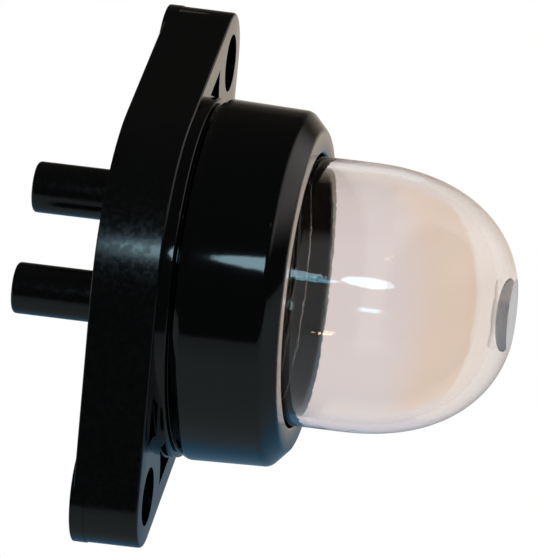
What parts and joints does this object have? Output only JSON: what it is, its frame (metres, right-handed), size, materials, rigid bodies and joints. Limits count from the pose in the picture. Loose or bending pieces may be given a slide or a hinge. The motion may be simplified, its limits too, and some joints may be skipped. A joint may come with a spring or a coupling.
{
  "type": "primer bulb",
  "caption": "Clear squeeze bulb clamped by a round cap on a black moulded fuel primer body, with screw ears and hose nipples at the back.",
  "frame": {"origin": "midpoint between the screw holes, on the plane of the raised pads behind the ears", "axes": "+X along the bulb's axis, out of the dome; +Z along the line through the screw holes, towards the ear beside the inlet nipple; Y across the ears, the same on both sides"},
  "size_m": [0.0365, 0.0272, 0.0428],
  "materials": {
    "body": "glossy black moulding",
    "cap": "glossy black moulding",
    "bulb": "clear flexible plastic, very slightly warm",
    "valve": "matt black rubber"
  },
  "bodies": {
    "root": {"body": "body", "retaining_cap": "cap", "bulb": "bulb", "check_valve": "valve"}
  },
  "joints": []
}
